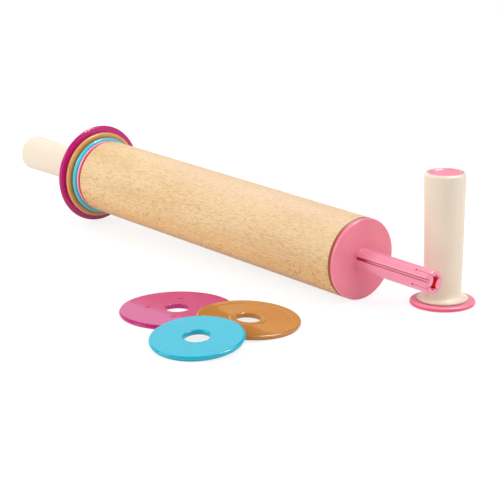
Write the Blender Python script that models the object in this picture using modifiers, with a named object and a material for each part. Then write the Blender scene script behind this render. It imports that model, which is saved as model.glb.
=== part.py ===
"""Adjustable rolling pin: a beech barrel with two plastic hubs, six thickness discs and two clip-on handles.

The pin lies on a table. Its left end carries three discs and a handle, and its right end is bare, with its three
discs and its handle taken off beside it. All sizes are in metres, +Z is up and the table is at zero height.
"""

import math

import bmesh
import bpy
import numpy as np
from mathutils import Quaternion, Vector

# Fits and clearances
SEAT_GAP = 0.0003
PASS_GAP = 0.0001
CUT_OVERRUN = 0.002

# Beech barrel
BARREL_LENGTH = 0.302
BARREL_RADIUS = 0.030
BARREL_EDGE = 0.0015

# End hub: a plate against the barrel, a spigot inside it and the shaft outside
PLATE_INSET = 0.0001
PLATE_THICKNESS = 0.0035
PLATE_EDGE = 0.0008
SPIGOT_RADIUS = 0.0097
SPIGOT_LENGTH = 0.024
SPIGOT_NOSE = 0.0015
SHAFT_RADIUS = 0.0082
SHAFT_LENGTH = 0.0690
SHAFT_FILLET = 0.001
HUB_ROLL = math.radians(-20)

# Snap fingers at the tip of the shaft
BARB_RISE = 0.0003
BARB_LENGTH = 0.0065
BARB_RAMP = 0.0015
NOSE_EDGE = 0.0018
SLIT_LENGTH = 0.0135
SLIT_WIDTH = 0.0008
SLIT_ANGLE = math.radians(38)
SLIT_START = 0.0005
SLIT_HOLE_RADIUS = 0.0008

# Keyways along the shaft, each with a land between two deeper channels
KEYWAY_WIDTH = 0.0022
KEYWAY_DEPTH = 0.0012
KEYWAY_START = 0.0012
CHANNEL_DEPTH = 0.0022
CHANNEL_WIDTH = 0.0005

# Hollow of the shaft: waisted between the two keyways, with a half-moon relief above and below it
HOLLOW_HEIGHT = 0.0064
HOLLOW_WAIST = 0.0040
HOLLOW_WIDTH = 0.0064
HOLLOW_DEPTH = 0.060
RELIEF_WIDTH = 0.0034
RELIEF_RISE = 0.0009
RELIEF_WEB = 0.0010

# Thickness discs: each one lifts the barrel off the table by its step
DISC_THICKNESS = 0.0034
DISC_PLAY = 0.0003
DISC_FIT = 0.0003
DISC_EDGE = 0.0013
DISC_BACK_INSET = 0.0009
DISC_BACK_STEP = 0.0011
DISC_BACK_EDGE = 0.0004
DISC_HOLE_EDGE = 0.0007
DISC_RING_WIDTH = 0.0019
DISC_BEAD_WIDTH = 0.0010
DISC_RECESS = 0.0003
BLUE_STEP = 0.0021
BROWN_STEP = 0.0061
MAGENTA_STEP = 0.0108

# Handle core: a keyed sleeve with a flange
FLANGE_RADIUS = 0.0234
FLANGE_THICKNESS = 0.0030
FLANGE_EDGE = 0.0011
CORE_FIT = 0.00025
CORE_WALL = 0.0018
CORE_MOUTH = 0.0006
KEY_FIT = 0.0003
KEY_LENGTH = 0.030
KEY_START = 0.004
SNAP_GROOVE_DEPTH = 0.0005

# Grip: a turned handle that spins on the core
HANDLE_LENGTH = 0.0955
GRIP_RIM_WIDTH = 0.00175
GRIP_NECK_RADIUS = 0.0133
GRIP_FLANGE_RADIUS = 0.0182
GRIP_FLANGE_LIP = 0.0019
GRIP_FLARE = 0.0048
GRIP_SHOULDER = 0.0024
GRIP_FIT = 0.0003

# End cap, let into the outer end of the grip and held in the core
CAP_RADIUS = 0.0130
CAP_THICKNESS = 0.0028
CAP_RIM_WIDTH = 0.0017
CAP_EDGE = 0.0005
CAP_DISH = 0.0011
CAP_SKIRT_LENGTH = 0.009
CAP_SKIRT_WALL = 0.0016

# Places on the table, from the middle of the barrel
HANDLE_PLACE = (0.1991, 0.0355)
MAGENTA_PLACE = (0.0883, -0.1170)
BROWN_PLACE = (0.1440, -0.0995)
BLUE_PLACE = (0.1544, -0.1529)

# Facets
BARREL_STEPS = 48
DISC_STEPS = 40
SHAFT_STEPS = 40
HANDLE_STEPS = 36
HOLE_SIDES = 12
ARC_STEPS = 2
NOSE_STEPS = 3
RIM_SAMPLES = 720
LEAN_SAMPLES = 720
WELD_DISTANCE = 0.000001
SHARP_ANGLE = math.radians(35)

# Sizes that follow from the ones above
PLATE_RADIUS = BARREL_RADIUS - PLATE_INSET
BARB_RADIUS = SHAFT_RADIUS + BARB_RISE
BARREL_BORE_RADIUS = SPIGOT_RADIUS + SEAT_GAP
BARREL_BORE_DEPTH = SPIGOT_LENGTH + SEAT_GAP
DISC_HOLE_RADIUS = BARB_RADIUS + DISC_FIT
DISC_HANG = DISC_FIT - PASS_GAP
CORE_BORE_RADIUS = BARB_RADIUS + CORE_FIT
CORE_RADIUS = CORE_BORE_RADIUS + CORE_WALL
GRIP_BORE_RADIUS = CORE_RADIUS + GRIP_FIT
CAP_SKIRT_RADIUS = CORE_BORE_RADIUS - SEAT_GAP
CAP_SEAT_HEIGHT = HANDLE_LENGTH - CAP_THICKNESS
CAP_SEAT_RADIUS = CAP_RADIUS + GRIP_FIT
GRIP_END_RADIUS = CAP_RADIUS + GRIP_RIM_WIDTH
CORE_LENGTH = CAP_SEAT_HEIGHT - SEAT_GAP
GRIP_START = FLANGE_THICKNESS + SEAT_GAP

# Distances along the pin from the middle of the barrel
PLATE_FACE = BARREL_LENGTH / 2 + SEAT_GAP + PLATE_THICKNESS
BLUE_SEAT = PLATE_FACE + DISC_PLAY
BROWN_SEAT = BLUE_SEAT + DISC_THICKNESS + DISC_PLAY
MAGENTA_SEAT = BROWN_SEAT + DISC_THICKNESS + DISC_PLAY
HANDLE_SEAT = MAGENTA_SEAT + DISC_THICKNESS + DISC_PLAY

BEECH = (0.85, 0.62, 0.38)
PINK = (0.93, 0.38, 0.46)
CREAM = (0.90, 0.80, 0.66)
BLUE = (0.10, 0.60, 0.80)
BROWN = (0.58, 0.28, 0.07)
MAGENTA = (0.62, 0.02, 0.20)


def clear_scene():
    """Remove every object of the open scene."""
    for item in list(bpy.data.objects):
        bpy.data.objects.remove(item, do_unlink=True)


def plastic(name, colour, roughness):
    """A plain material with the piece's own colour and roughness."""
    material = bpy.data.materials.new(name)
    material.use_nodes = True
    shader = material.node_tree.nodes["Principled BSDF"]
    shader.inputs["Base Color"].default_value = (*colour, 1.0)
    shader.inputs["Roughness"].default_value = roughness
    shader.inputs["Metallic"].default_value = 0.0
    return material


def add_object(name, data, collection):
    """Put an object with this data in the collection."""
    item = bpy.data.objects.new(name, data)
    collection.objects.link(item)
    return item


def arc(centre, radii, start, end, steps=ARC_STEPS):
    """Points of an elliptic arc in a profile, from one angle in degrees to another, both ends included."""
    angles = np.radians(np.linspace(start, end, steps + 1))
    return [(centre[0] + radii[0] * math.cos(a), centre[1] + radii[1] * math.sin(a)) for a in angles]


def turned(name, profile, steps, collection, closed=True):
    """A piece turned round Z from its profile of (radius, height) points, read down its outer side."""
    mesh = bpy.data.meshes.new(name)
    count = len(profile)
    edges = [(i, i + 1) for i in range(count - 1)]
    if closed:
        edges.append((count - 1, 0))
    mesh.from_pydata([(radius, 0, height) for radius, height in profile], edges, [])
    item = add_object(name, mesh, collection)
    screw = item.modifiers.new("Turn", "SCREW")
    screw.axis = "Z"
    screw.angle = math.tau
    screw.steps = steps
    screw.render_steps = steps
    screw.use_merge_vertices = True
    screw.merge_threshold = WELD_DISTANCE
    return item


def as_tool(item):
    """Mark an object as a cutter or an addition that isn't a piece of its own."""
    item.hide_render = True
    item.display_type = "WIRE"
    return item


def box_tool(name, size, centre, turn, collection):
    """A block for cutting or joining, turned about Z after it is placed."""
    mesh = bpy.data.meshes.new(name)
    shape = bmesh.new()
    bmesh.ops.create_cube(shape, size=1)
    bmesh.ops.scale(shape, vec=size, verts=shape.verts)
    bmesh.ops.translate(shape, vec=centre, verts=shape.verts)
    shape.to_mesh(mesh)
    shape.free()
    item = as_tool(add_object(name, mesh, collection))
    item.rotation_euler = (0, 0, turn)
    return item


def rod_tool(name, radius, length, collection):
    """A round rod along Z, centred on the origin."""
    mesh = bpy.data.meshes.new(name)
    shape = bmesh.new()
    bmesh.ops.create_cone(shape, cap_ends=True, segments=HOLE_SIDES, radius1=radius, radius2=radius, depth=length)
    shape.to_mesh(mesh)
    shape.free()
    return as_tool(add_object(name, mesh, collection))


def outline_tool(name, outline, thickness, collection):
    """A flat outline in XY made as thick as asked, centred on the origin."""
    curve = bpy.data.curves.new(name, "CURVE")
    curve.dimensions = "2D"
    curve.fill_mode = "BOTH"
    curve.extrude = thickness / 2
    spline = curve.splines.new("POLY")
    spline.points.add(len(outline) - 1)
    for point, (x, y) in zip(spline.points, outline):
        point.co = (x, y, 0, 1)
    spline.use_cyclic_u = True
    flat = add_object(name + "_outline", curve, collection)
    solid = as_tool(add_object(name, solid_mesh(flat), collection))
    bpy.data.objects.remove(flat, do_unlink=True)
    return solid


def solid_mesh(item):
    """The evaluated mesh of an object, with its loose caps welded and its faces pointing out."""
    bpy.context.view_layer.update()
    evaluated = item.evaluated_get(bpy.context.evaluated_depsgraph_get())
    mesh = bpy.data.meshes.new_from_object(evaluated)
    shape = bmesh.new()
    shape.from_mesh(mesh)
    bmesh.ops.remove_doubles(shape, verts=shape.verts, dist=WELD_DISTANCE)
    bmesh.ops.recalc_face_normals(shape, faces=shape.faces)
    shape.to_mesh(mesh)
    shape.free()
    return mesh


def combine(item, operation, tools):
    """Cut tools out of a piece, or join them to it."""
    for tool in tools:
        boolean = item.modifiers.new(tool.name, "BOOLEAN")
        boolean.operation = operation
        boolean.solver = "EXACT"
        boolean.object = tool


def finished_mesh(item, tools=()):
    """The finished mesh of a piece, shaded smooth between its sharp edges; the piece and its tools go."""
    mesh = solid_mesh(item)
    mesh.name = item.name
    mesh.materials.clear()
    mesh.shade_smooth()
    mesh.set_sharp_from_angle(angle=SHARP_ANGLE)
    for used in (item, *tools):
        bpy.data.objects.remove(used, do_unlink=True)
    return mesh


def barrel_mesh(workshop):
    """Beech cylinder with broken edges and a blind bore in each end for a hub's spigot."""
    half = BARREL_LENGTH / 2
    floor = half - BARREL_BORE_DEPTH
    upper = [(0, floor), (BARREL_BORE_RADIUS, floor), (BARREL_BORE_RADIUS, half)]
    upper += [(BARREL_RADIUS - BARREL_EDGE, half), (BARREL_RADIUS, half - BARREL_EDGE)]
    lower = [(radius, -height) for radius, height in reversed(upper)]
    return finished_mesh(turned("barrel_shape", upper + lower, BARREL_STEPS, workshop, closed=False))


def hub_profile():
    """Half section of a hub, with the plate's outer face at height zero and the shaft pointing up."""
    tip = SHAFT_LENGTH
    barb = tip - BARB_LENGTH
    back = -PLATE_THICKNESS
    nose = arc((BARB_RADIUS - NOSE_EDGE, tip - NOSE_EDGE), (NOSE_EDGE, NOSE_EDGE), 90, 0, NOSE_STEPS)
    fillet = arc((SHAFT_RADIUS + SHAFT_FILLET, SHAFT_FILLET), (SHAFT_FILLET, SHAFT_FILLET), 180, 270)
    edge = arc((PLATE_RADIUS - PLATE_EDGE, -PLATE_EDGE), (PLATE_EDGE, PLATE_EDGE), 90, 0)
    spigot_end = back - SPIGOT_LENGTH
    profile = [(0, tip), *nose, (BARB_RADIUS, barb), (SHAFT_RADIUS, barb - BARB_RAMP), *fillet, *edge]
    profile += [(PLATE_RADIUS, back), (SPIGOT_RADIUS, back), (SPIGOT_RADIUS, spigot_end + SPIGOT_NOSE)]
    profile += [(SPIGOT_RADIUS - SPIGOT_NOSE, spigot_end), (0, spigot_end)]
    return profile


def hollow_outline():
    """Waisted outline of the shaft's hollow: its half width grows with the square of the height."""
    heights = np.linspace(-1, 1, 2 * ARC_STEPS + 3)
    side = [(HOLLOW_WAIST / 2 + (HOLLOW_WIDTH - HOLLOW_WAIST) / 2 * h * h, HOLLOW_HEIGHT / 2 * h) for h in heights]
    return side + [(-x, y) for x, y in reversed(side)]


def keyway_tools(top, workshop):
    """Cutters of both keyways: a slot with a round start, and a deeper channel along each of its sides."""
    outer = BARB_RADIUS + CUT_OVERRUN
    start = KEYWAY_START + KEYWAY_WIDTH / 2
    length = top - start
    beside = (KEYWAY_WIDTH - CHANNEL_WIDTH) / 2
    cuts = (
        ("keyway", KEYWAY_DEPTH, KEYWAY_WIDTH, 0),
        ("upper_channel", CHANNEL_DEPTH, CHANNEL_WIDTH, beside),
        ("lower_channel", CHANNEL_DEPTH, CHANNEL_WIDTH, -beside),
    )
    floor = SHAFT_RADIUS - KEYWAY_DEPTH
    tools = []
    for turn, side_name in ((0, "front"), (math.pi, "rear")):
        end = rod_tool(side_name + "_keyway_end", KEYWAY_WIDTH / 2, outer - floor, workshop)
        end.rotation_euler = (0, math.pi / 2, turn)
        middle = (outer + floor) / 2
        end.location = (middle * math.cos(turn), middle * math.sin(turn), start)
        tools.append(end)
        for cut_name, depth, width, offset in cuts:
            size = (outer - SHAFT_RADIUS + depth, width, length)
            centre = ((outer + SHAFT_RADIUS - depth) / 2, offset, top - length / 2)
            tools.append(box_tool(side_name + "_" + cut_name, size, centre, turn, workshop))
    return tools


def hub_mesh(workshop):
    """Hub: plate, spigot and hollow shaft with two keyways, and a tip slit into four snap fingers.

    The keyways lie along X. Each slit runs straight from a corner of the hollow to SLIT_ANGLE beside a keyway.
    """
    hub = turned("hub_shape", hub_profile(), SHAFT_STEPS, workshop, closed=False)
    top = SHAFT_LENGTH + CUT_OVERRUN
    hollow = outline_tool("hollow", hollow_outline(), HOLLOW_DEPTH + CUT_OVERRUN, workshop)
    hollow.location = (0, 0, top - (HOLLOW_DEPTH + CUT_OVERRUN) / 2)
    tools = [hollow]
    tip_length = SLIT_LENGTH + CUT_OVERRUN
    half_moon = arc((0, HOLLOW_HEIGHT / 2 + RELIEF_WEB), (RELIEF_WIDTH / 2, RELIEF_RISE), 0, 180, 2 * ARC_STEPS)
    for turn, side_name in ((0, "upper"), (math.pi, "lower")):
        relief = outline_tool(side_name + "_relief", half_moon, tip_length, workshop)
        relief.location = (0, 0, top - tip_length / 2)
        relief.rotation_euler = (0, 0, turn)
        tools.append(relief)
    tools += keyway_tools(top, workshop)
    corner = Vector((HOLLOW_WIDTH / 2, HOLLOW_HEIGHT / 2 - SLIT_WIDTH / 2))
    mouth = Vector((math.cos(SLIT_ANGLE), math.sin(SLIT_ANGLE))) * SHAFT_RADIUS
    along = (mouth - corner).normalized()
    inner = corner - along * SLIT_START
    reach = (mouth - inner).length + CUT_OVERRUN
    for turn, mirror, side_name in ((0, 1, "first"), (0, -1, "second"), (math.pi, 1, "third"), (math.pi, -1, "fourth")):
        heading = turn + mirror * math.atan2(along.y, along.x)
        middle = inner + along * reach / 2
        place_x = math.cos(turn) * middle.x
        place_y = mirror * math.cos(turn) * middle.y
        slit = box_tool(side_name + "_slit", (reach, SLIT_WIDTH, tip_length), (0, 0, 0), heading, workshop)
        slit.location = (place_x, place_y, top - tip_length / 2)
        hole = rod_tool(side_name + "_slit_hole", SLIT_HOLE_RADIUS, reach, workshop)
        hole.rotation_euler = (0, math.pi / 2, heading)
        hole.location = (place_x, place_y, SHAFT_LENGTH - SLIT_LENGTH)
        tools += [slit, hole]
    combine(hub, "DIFFERENCE", tools)
    return finished_mesh(hub, tools)


def disc_mesh(name, radius, workshop):
    """Thickness disc: a stepped flat back below, and above a shallow recess between its rim and the hole's ring."""
    top = DISC_THICKNESS
    hole = DISC_HOLE_RADIUS
    rim_centre = radius - DISC_EDGE
    rim = (DISC_EDGE, DISC_EDGE)
    floor = top - DISC_RECESS
    bead = rim_centre - DISC_BEAD_WIDTH
    ring = hole + DISC_HOLE_EDGE + DISC_RING_WIDTH
    back = radius - DISC_BACK_INSET
    back_edge = (radius - DISC_BACK_EDGE, DISC_BACK_STEP + DISC_BACK_EDGE)
    profile = arc((rim_centre, top - DISC_EDGE), rim, 90, 0)
    profile += arc(back_edge, (DISC_BACK_EDGE, DISC_BACK_EDGE), 0, -90, 1)
    profile += [(back, DISC_BACK_STEP), (back, 0)]
    profile += [(hole + DISC_HOLE_EDGE, 0), (hole, DISC_HOLE_EDGE), (hole, top - DISC_HOLE_EDGE)]
    profile += [(hole + DISC_HOLE_EDGE, top), (ring, top), (ring + DISC_RECESS, floor)]
    profile += [(bead - DISC_RECESS, floor), (bead, top)]
    return finished_mesh(turned(name + "_shape", profile, DISC_STEPS, workshop))


def core_mesh(workshop):
    """Handle core: flange at the bottom, sleeve with a snap groove in its bore and two keys along X."""
    bore = CORE_BORE_RADIUS
    rim_centre = FLANGE_RADIUS - FLANGE_EDGE
    rim = (FLANGE_EDGE, FLANGE_EDGE)
    tip = PLATE_FACE + SHAFT_LENGTH - HANDLE_SEAT
    groove_low = tip - BARB_LENGTH - BARB_RAMP
    groove_high = tip + SNAP_GROOVE_DEPTH
    groove = bore + SNAP_GROOVE_DEPTH
    profile = [(CORE_RADIUS, CORE_LENGTH), (CORE_RADIUS, FLANGE_THICKNESS)]
    profile += arc((rim_centre, FLANGE_THICKNESS - FLANGE_EDGE), rim, 90, 0)
    profile += arc((rim_centre, FLANGE_EDGE), rim, 0, -90)
    profile += [(bore + CORE_MOUTH, 0), (bore, CORE_MOUTH), (bore, groove_low - SNAP_GROOVE_DEPTH)]
    profile += [(groove, groove_low), (groove, groove_high), (bore, groove_high + SNAP_GROOVE_DEPTH)]
    profile += [(bore, CORE_LENGTH)]
    core = turned("core_shape", profile, HANDLE_STEPS, workshop)
    inner = SHAFT_RADIUS - KEYWAY_DEPTH + KEY_FIT
    outer = bore + CORE_WALL / 2
    keys = []
    for turn, side_name in ((0, "front"), (math.pi, "rear")):
        size = (outer - inner, KEYWAY_WIDTH - 2 * KEY_FIT, KEY_LENGTH)
        centre = ((outer + inner) / 2, 0, KEY_START + KEY_LENGTH / 2)
        keys.append(box_tool(side_name + "_key", size, centre, turn, workshop))
    combine(core, "UNION", keys)
    return finished_mesh(core, keys)


def grip_mesh(workshop):
    """Grip: lipped foot, concave flare, slow taper to the wider outer end, and a round shoulder at the cap."""
    foot = GRIP_START
    lip_middle = foot + GRIP_FLANGE_LIP / 2
    lip_edge = GRIP_FLANGE_LIP / 2
    flare_top = foot + GRIP_FLANGE_LIP + GRIP_FLARE
    shoulder_centre = (GRIP_END_RADIUS - GRIP_SHOULDER, HANDLE_LENGTH - GRIP_SHOULDER)
    shoulder_start = math.degrees(math.acos((CAP_SEAT_RADIUS - shoulder_centre[0]) / GRIP_SHOULDER))
    shoulder = arc(shoulder_centre, (GRIP_SHOULDER, GRIP_SHOULDER), shoulder_start, 0, 3)
    flare_width = GRIP_FLANGE_RADIUS - lip_edge - GRIP_NECK_RADIUS
    flare = arc((GRIP_NECK_RADIUS + flare_width, flare_top), (flare_width, GRIP_FLARE), 180, 270, 4)
    lip = arc((GRIP_FLANGE_RADIUS - lip_edge, lip_middle), (lip_edge, lip_edge), 90, -90, 4)
    profile = [*shoulder, *flare[:-1], *lip]
    profile += [(GRIP_BORE_RADIUS, foot), (GRIP_BORE_RADIUS, CAP_SEAT_HEIGHT - SEAT_GAP)]
    profile += [(CAP_SEAT_RADIUS, CAP_SEAT_HEIGHT - SEAT_GAP)]
    return finished_mesh(turned("grip_shape", profile, HANDLE_STEPS, workshop))


def cap_mesh(workshop):
    """End cap: a dished plate with a raised rim, and a skirt that holds it in the core."""
    top = HANDLE_LENGTH
    under = CAP_SEAT_HEIGHT
    rim_inner = CAP_RADIUS - CAP_RIM_WIDTH
    edge = arc((CAP_RADIUS - CAP_EDGE, top - CAP_EDGE), (CAP_EDGE, CAP_EDGE), 90, 0)
    skirt_end = under - CAP_SKIRT_LENGTH
    skirt_inner = CAP_SKIRT_RADIUS - CAP_SKIRT_WALL
    profile = [(0, top - CAP_DISH / 2), (rim_inner / 2, top - CAP_DISH * 3 / 4), (rim_inner - CAP_DISH, top - CAP_DISH)]
    profile += [(rim_inner, top), *edge, (CAP_RADIUS, under), (CAP_SKIRT_RADIUS, under)]
    profile += [(CAP_SKIRT_RADIUS, skirt_end), (skirt_inner, skirt_end), (skirt_inner, under), (0, under)]
    return finished_mesh(turned("cap_shape", profile, HANDLE_STEPS, workshop, closed=False))


def place(name, mesh, material, parent, location, direction, roll, collection):
    """Put a piece on its place, with its own Z along the direction, turned about it by the roll."""
    item = add_object(name, mesh, collection)
    item.parent = parent
    item.location = location
    item.rotation_mode = "QUATERNION"
    turn = Vector((0, 0, 1)).rotation_difference(Vector(direction))
    item.rotation_quaternion = turn @ Quaternion((0, 0, 1), roll)
    item.data = mesh
    if not mesh.materials:
        mesh.materials.append(material)
    return item


def add_empty(name, parent, collection):
    """An empty that carries pieces."""
    item = add_object(name, None, collection)
    item.parent = parent
    return item


def pin_attitude():
    """Tilt of the pin and height of its middle: its right hub and its left magenta disc touch the table."""
    right_reach = PLATE_FACE - PLATE_EDGE
    left_reach = MAGENTA_SEAT + DISC_EDGE
    rise = BARREL_RADIUS + MAGENTA_STEP - DISC_HANG - PLATE_RADIUS
    tilt = math.atan2(rise, right_reach + left_reach)
    round_loss = PLATE_EDGE * (1 - math.cos(tilt))
    hub_height = right_reach * math.sin(tilt) + PLATE_RADIUS * math.cos(tilt) + round_loss
    edge_reach = BARREL_LENGTH / 2 - BARREL_EDGE
    barrel_height = edge_reach * math.sin(tilt) + BARREL_RADIUS * math.cos(tilt)
    return tilt, max(hub_height, barrel_height)


def rim_points(centre, normal, radius):
    """Points round the edge of a disc's upper face, where another disc can lie on it."""
    across = normal.orthogonal().normalized()
    along = normal.cross(across)
    angles = np.linspace(0, math.tau, RIM_SAMPLES, endpoint=False)[:, None]
    middle = np.array(centre + normal * DISC_THICKNESS)
    turned_points = np.cos(angles) * np.array(across) + np.sin(angles) * np.array(along)
    return middle + radius * turned_points


def settle(place_xy, radius, support):
    """Foot and axis of a disc that lies with its back's edge on the table and its back on the support points.

    Of all the ways that it can lean there, the disc takes the one with the least slope, where it lies lowest.
    """
    offsets = support[:, :2] - np.array(place_xy)
    under = np.hypot(offsets[:, 0], offsets[:, 1]) < radius
    slope = 0.0
    uphill = Vector((1, 0, 0))
    if under.any():
        angles = np.linspace(0, math.tau, LEAN_SAMPLES, endpoint=False)
        directions = np.stack([np.cos(angles), np.sin(angles)])
        reach = np.maximum(offsets[under] @ directions + radius, SEAT_GAP)
        slopes = ((support[under, 2] + SEAT_GAP)[:, None] / reach).max(axis=0)
        best = int(slopes.argmin())
        slope = float(slopes[best])
        uphill = Vector((directions[0, best], directions[1, best], 0))
    lean = math.atan(slope)
    normal = Vector((0, 0, 1)) * math.cos(lean) - uphill * math.sin(lean)
    return Vector((*place_xy, math.sin(lean) * radius)), normal


def build_pin(layout, meshes, materials, collection):
    """Barrel and hubs, with the three discs and the handle on the left end, the discs' backs outwards."""
    tilt, height = pin_attitude()
    axis = add_empty("pin_axis", layout, collection)
    axis.location = (0, 0, height)
    axis.rotation_euler = (0, tilt, 0)
    left = (-1, 0, 0)
    right = (1, 0, 0)
    place("barrel", meshes["barrel"], materials["beech"], axis, (0, 0, 0), right, 0, collection)
    for name, direction in (("hub_left", left), ("hub_right", right)):
        location = (direction[0] * PLATE_FACE, 0, 0)
        roll = math.pi / 2 + HUB_ROLL * direction[0]
        place(name, meshes["hub"], materials[name], axis, location, direction, roll, collection)
    seats = (("blue", BLUE_SEAT, -DISC_HANG), ("brown", BROWN_SEAT, -DISC_HANG), ("magenta", MAGENTA_SEAT, DISC_HANG))
    for colour, seat, lift in seats:
        name = colour + "_disc_left"
        location = (-seat - DISC_THICKNESS, 0, lift)
        place(name, meshes[colour], materials[name], axis, location, right, 0, collection)
    for piece, mesh in (("core", "core"), ("grip", "grip"), ("cap", "cap")):
        name = "handle_" + piece + "_left"
        roll = math.pi / 2 - HUB_ROLL
        place(name, meshes[mesh], materials[name], axis, (-HANDLE_SEAT, 0, 0), left, roll, collection)


def build_loose_pieces(layout, meshes, materials, collection):
    """The right handle stood on its flange, and the right discs in a loose pile, the largest one turned over."""
    up = Vector((0, 0, 1))
    stand = add_empty("standing_handle", layout, collection)
    stand.location = (*HANDLE_PLACE, 0)
    for piece in ("core", "grip", "cap"):
        name = "handle_" + piece + "_right"
        place(name, meshes[piece], materials[name], stand, (0, 0, 0), up, 0, collection)
    magenta_foot = Vector((*MAGENTA_PLACE, 0))
    magenta_rim = rim_points(magenta_foot, up, BARREL_RADIUS + MAGENTA_STEP - DISC_BACK_INSET)
    brown_foot, brown_axis = settle(BROWN_PLACE, BARREL_RADIUS + BROWN_STEP - DISC_BACK_INSET, magenta_rim)
    brown_rim = rim_points(brown_foot, brown_axis, BARREL_RADIUS + BROWN_STEP - DISC_EDGE)
    pile_rim = np.concatenate([magenta_rim, brown_rim])
    blue_foot, blue_axis = settle(BLUE_PLACE, BARREL_RADIUS + BLUE_STEP - DISC_BACK_INSET, pile_rim)
    turned_over = magenta_foot + up * DISC_THICKNESS
    magenta = "magenta_disc_right"
    place(magenta, meshes["magenta"], materials[magenta], layout, turned_over, -up, 0, collection)
    for name, mesh, foot, axis in (
        ("brown_disc_right", "brown", brown_foot, brown_axis),
        ("blue_disc_right", "blue", blue_foot, blue_axis),
    ):
        place(name, meshes[mesh], materials[name], layout, foot, axis, 0, collection)


def centre_layout(layout, collection):
    """Move the whole layout so that the origin lies under the middle of its bounding box."""
    bpy.context.view_layer.update()
    corners = [
        item.matrix_world @ vertex.co
        for item in collection.objects
        if item.type == "MESH"
        for vertex in item.data.vertices
    ]
    points = np.array([tuple(corner) for corner in corners])
    middle = (points.min(axis=0) + points.max(axis=0)) / 2
    layout.location = (-middle[0], -middle[1], 0)
    bpy.context.view_layer.update()


def make_materials():
    """One material for each piece."""
    pink_pieces = ("hub_left", "hub_right", "handle_core_left", "handle_core_right")
    materials = {"beech": plastic("beech", BEECH, 0.55)}
    for name in pink_pieces + ("handle_cap_left", "handle_cap_right"):
        materials[name] = plastic(name, PINK, 0.35)
    for name in ("handle_grip_left", "handle_grip_right"):
        materials[name] = plastic(name, CREAM, 0.40)
    for side in ("left", "right"):
        for colour, value in (("blue", BLUE), ("brown", BROWN), ("magenta", MAGENTA)):
            name = colour + "_disc_" + side
            materials[name] = plastic(name, value, 0.20)
    return materials


def make_meshes(workshop):
    """The mesh of each kind of piece, which its left and right copies share."""
    return {
        "barrel": barrel_mesh(workshop),
        "hub": hub_mesh(workshop),
        "blue": disc_mesh("blue", BARREL_RADIUS + BLUE_STEP, workshop),
        "brown": disc_mesh("brown", BARREL_RADIUS + BROWN_STEP, workshop),
        "magenta": disc_mesh("magenta", BARREL_RADIUS + MAGENTA_STEP, workshop),
        "core": core_mesh(workshop),
        "grip": grip_mesh(workshop),
        "cap": cap_mesh(workshop),
    }


def main():
    """Build every piece and lay the set out on the table."""
    clear_scene()
    collection = bpy.data.collections.new("adjustable_rolling_pin")
    workshop = bpy.data.collections.new("cutters")
    bpy.context.scene.collection.children.link(collection)
    bpy.context.scene.collection.children.link(workshop)
    meshes = make_meshes(workshop)
    materials = make_materials()
    layout = add_empty("layout", None, collection)
    build_pin(layout, meshes, materials, collection)
    build_loose_pieces(layout, meshes, materials, collection)
    centre_layout(layout, collection)


main()
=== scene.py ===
"""Adjustable rolling pin, dressed: fine turned and moulded surfaces, materials, table, light and camera."""

import math

import bmesh
import bpy
import numpy as np
from bpy.props import FloatProperty, FloatVectorProperty, IntProperty, PointerProperty
from mathutils import Matrix, Quaternion, Vector


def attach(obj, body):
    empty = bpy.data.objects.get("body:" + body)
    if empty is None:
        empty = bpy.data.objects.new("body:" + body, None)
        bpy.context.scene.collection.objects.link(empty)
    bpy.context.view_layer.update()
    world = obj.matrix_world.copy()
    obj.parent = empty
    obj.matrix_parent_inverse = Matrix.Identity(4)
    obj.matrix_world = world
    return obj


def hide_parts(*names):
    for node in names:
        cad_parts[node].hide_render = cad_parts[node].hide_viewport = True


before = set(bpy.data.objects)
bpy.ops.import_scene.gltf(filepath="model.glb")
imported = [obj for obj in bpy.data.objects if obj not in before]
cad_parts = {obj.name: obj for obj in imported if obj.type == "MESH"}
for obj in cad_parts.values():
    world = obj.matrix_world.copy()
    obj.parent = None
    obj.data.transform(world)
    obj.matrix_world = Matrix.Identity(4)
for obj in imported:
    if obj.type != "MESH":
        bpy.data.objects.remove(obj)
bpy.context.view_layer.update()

bl_info = {
    "name": "Adjustable rolling pin",
    "version": (1, 0, 0),
    "blender": (4, 5, 0),
    "location": "3D View > Sidebar > Rolling Pin",
    "description": "Fine surfaces, materials and studio for a beech rolling pin with thickness discs",
    "category": "Add Mesh",
}

SIDES = ("left", "right")
OUTWARD = {"left": Vector((-1, 0, 0)), "right": Vector((1, 0, 0))}
UP = Vector((0, 0, 1))

# Edges that turn by more than this are shaded as sharp
SHARP_ANGLE = math.radians(32)
# Distance of the points beside an arc from its ends, as a share of its radius
SUPPORT = 0.12
# Points nearer to each other, or to the axis of a turned piece, than these are one, in metres
WELD = 1e-7
ON_AXIS = 1e-9
# How far a cutter stands out of the piece that it cuts, in metres
OVER = 0.002


def linear(code):
    """Scene-linear colour of a six-digit sRGB code."""
    values = [int(code[i:i + 2], 16) / 255 for i in (0, 2, 4)]
    return tuple(v / 12.92 if v <= 0.04045 else ((v + 0.055) / 1.055) ** 2.4 for v in values)


def length(name, default, text):
    """A property for a length in metres."""
    return FloatProperty(
        name=name, description=text, default=default, unit="LENGTH", subtype="DISTANCE", precision=5
    )


def angle(name, degrees, text):
    """A property for an angle, given in degrees."""
    turn = math.radians(degrees)
    return FloatProperty(name=name, description=text, default=turn, unit="ROTATION", subtype="ANGLE")


def share(name, default, text):
    """A property for a plain number."""
    return FloatProperty(name=name, description=text, default=default, precision=4)


def tint(name, code, text):
    """A property for a colour."""
    return FloatVectorProperty(
        name=name, description=text, default=linear(code), subtype="COLOR", size=3, min=0.0, max=1.0
    )


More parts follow.
